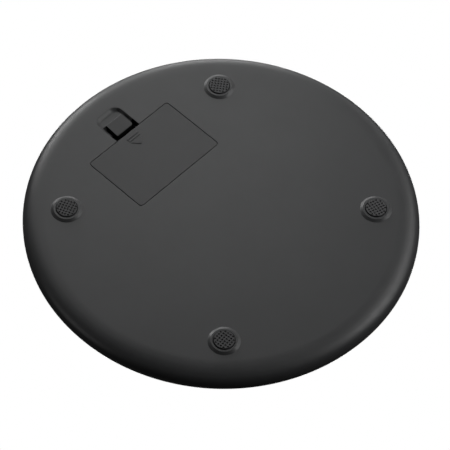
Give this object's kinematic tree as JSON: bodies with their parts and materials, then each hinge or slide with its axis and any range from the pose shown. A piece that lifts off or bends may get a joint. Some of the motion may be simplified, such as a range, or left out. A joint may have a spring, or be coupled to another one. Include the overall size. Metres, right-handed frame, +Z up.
{
  "type": "digital bathroom scale",
  "caption": "Low round floor scale: glass platform over a rolled-edge casing, load-cell feet with rubber pads, and a battery door with a sprung latch underneath.",
  "frame": {"origin": "on the floor, under the middle of the scale", "axes": "+Z up through the glass platform, +Y towards the display, so the battery door is on the -Y side"},
  "size_m": [0.33, 0.33, 0.0275],
  "materials": {
    "dark_abs": "fine moulded texture, dark grey",
    "black_abs": "satin black moulding",
    "white_abs": "satin white moulding",
    "black_glass": "polished tempered glass, printed black behind",
    "lcd_glass": "polarised display glass",
    "foam_tape": "closed-cell foam tape",
    "pad_rubber": "waffle-pattern rubber, matte",
    "plated_steel": "nickel-plated sheet steel",
    "zinc_screw": "zinc-plated screw",
    "cell_jacket": "plain printed cell jacket with bare end caps",
    "circuit_board": "green solder mask",
    "black_epoxy": "black epoxy dome",
    "wire_jacket": "soft PVC wire jacket"
  },
  "bodies": {
    "root": {"bottom_shell": "dark_abs", "top_frame": "black_abs", "platform_glass": "black_glass", "glass_tape": "foam_tape", "battery_1": "cell_jacket", "battery_2": "cell_jacket", "battery_3": "cell_jacket", "battery_4": "cell_jacket", "contact_positive": "plated_steel", "contact_negative": "plated_steel", "contact_bridge_1": "plated_steel", "contact_bridge_2": "plated_steel", "contact_bridge_3": "plated_steel", "unit_switch": "black_abs", "unit_switch_board": "circuit_board", "load_cell_bracket_front_right": "black_abs", "load_cell_bracket_front_left": "black_abs", "load_cell_bracket_rear_left": "black_abs", "load_cell_bracket_rear_right": "black_abs", "load_cell_cable_front_right": "wire_jacket", "load_cell_cable_front_left": "wire_jacket", "load_cell_cable_rear_left": "wire_jacket", "load_cell_cable_rear_right": "wire_jacket", "main_pcb": "circuit_board", "controller_blob": "black_epoxy", "pcb_screw_1": "zinc_screw", "pcb_screw_2": "zinc_screw", "pcb_screw_3": "zinc_screw", "pcb_screw_4": "zinc_screw", "lcd_holder": "white_abs", "lcd_backlight": "white_abs", "lcd_panel": "lcd_glass", "zebra_strip": "pad_rubber", "battery_lead": "wire_jacket", "unit_switch_lead": "wire_jacket", "frame_screw_1": "zinc_screw", "frame_screw_2": "zinc_screw", "frame_screw_3": "zinc_screw", "frame_screw_4": "zinc_screw", "frame_screw_5": "zinc_screw", "frame_screw_6": "zinc_screw"},
    "battery_door": {"battery_door": "dark_abs"},
    "battery_door_latch": {"battery_door_latch": "dark_abs"},
    "unit_button": {"unit_button": "white_abs"},
    "foot_front_right": {"foot_holder_front_right": "dark_abs", "foot_pad_front_right": "pad_rubber", "load_cell_front_right": "plated_steel"},
    "foot_front_left": {"foot_holder_front_left": "dark_abs", "foot_pad_front_left": "pad_rubber", "load_cell_front_left": "plated_steel"},
    "foot_rear_left": {"foot_holder_rear_left": "dark_abs", "foot_pad_rear_left": "pad_rubber", "load_cell_rear_left": "plated_steel"},
    "foot_rear_right": {"foot_holder_rear_right": "dark_abs", "foot_pad_rear_right": "pad_rubber", "load_cell_rear_right": "plated_steel"}
  },
  "joints": [
    {"name": "battery_door_hinge", "type": "hinge", "parent": "root", "child": "battery_door", "pos_m": [0.0008, -0.0492, 0.0025], "axis": [1, 0, 0], "range_deg": [0, 75]},
    {"name": "battery_door_latch_flex", "type": "slide", "parent": "battery_door", "child": "battery_door_latch", "axis": [0, 1, 0], "range_m": [0, 0.0025], "stiffness_N_per_m": 1200},
    {"name": "unit_button_press", "type": "slide", "parent": "root", "child": "unit_button", "axis": [0, 0, 1], "range_m": [0, 0.0005], "stiffness_N_per_m": 2000},
    {"name": "foot_front_right_travel", "type": "slide", "parent": "root", "child": "foot_front_right", "axis": [0, 0, -1], "range_m": [0, 0.0008]},
    {"name": "foot_front_left_travel", "type": "slide", "parent": "root", "child": "foot_front_left", "axis": [0, 0, -1], "range_m": [0, 0.0008]},
    {"name": "foot_rear_left_travel", "type": "slide", "parent": "root", "child": "foot_rear_left", "axis": [0, 0, -1], "range_m": [0, 0.0008]},
    {"name": "foot_rear_right_travel", "type": "slide", "parent": "root", "child": "foot_rear_right", "axis": [0, 0, -1], "range_m": [0, 0.0008]}
  ]
}
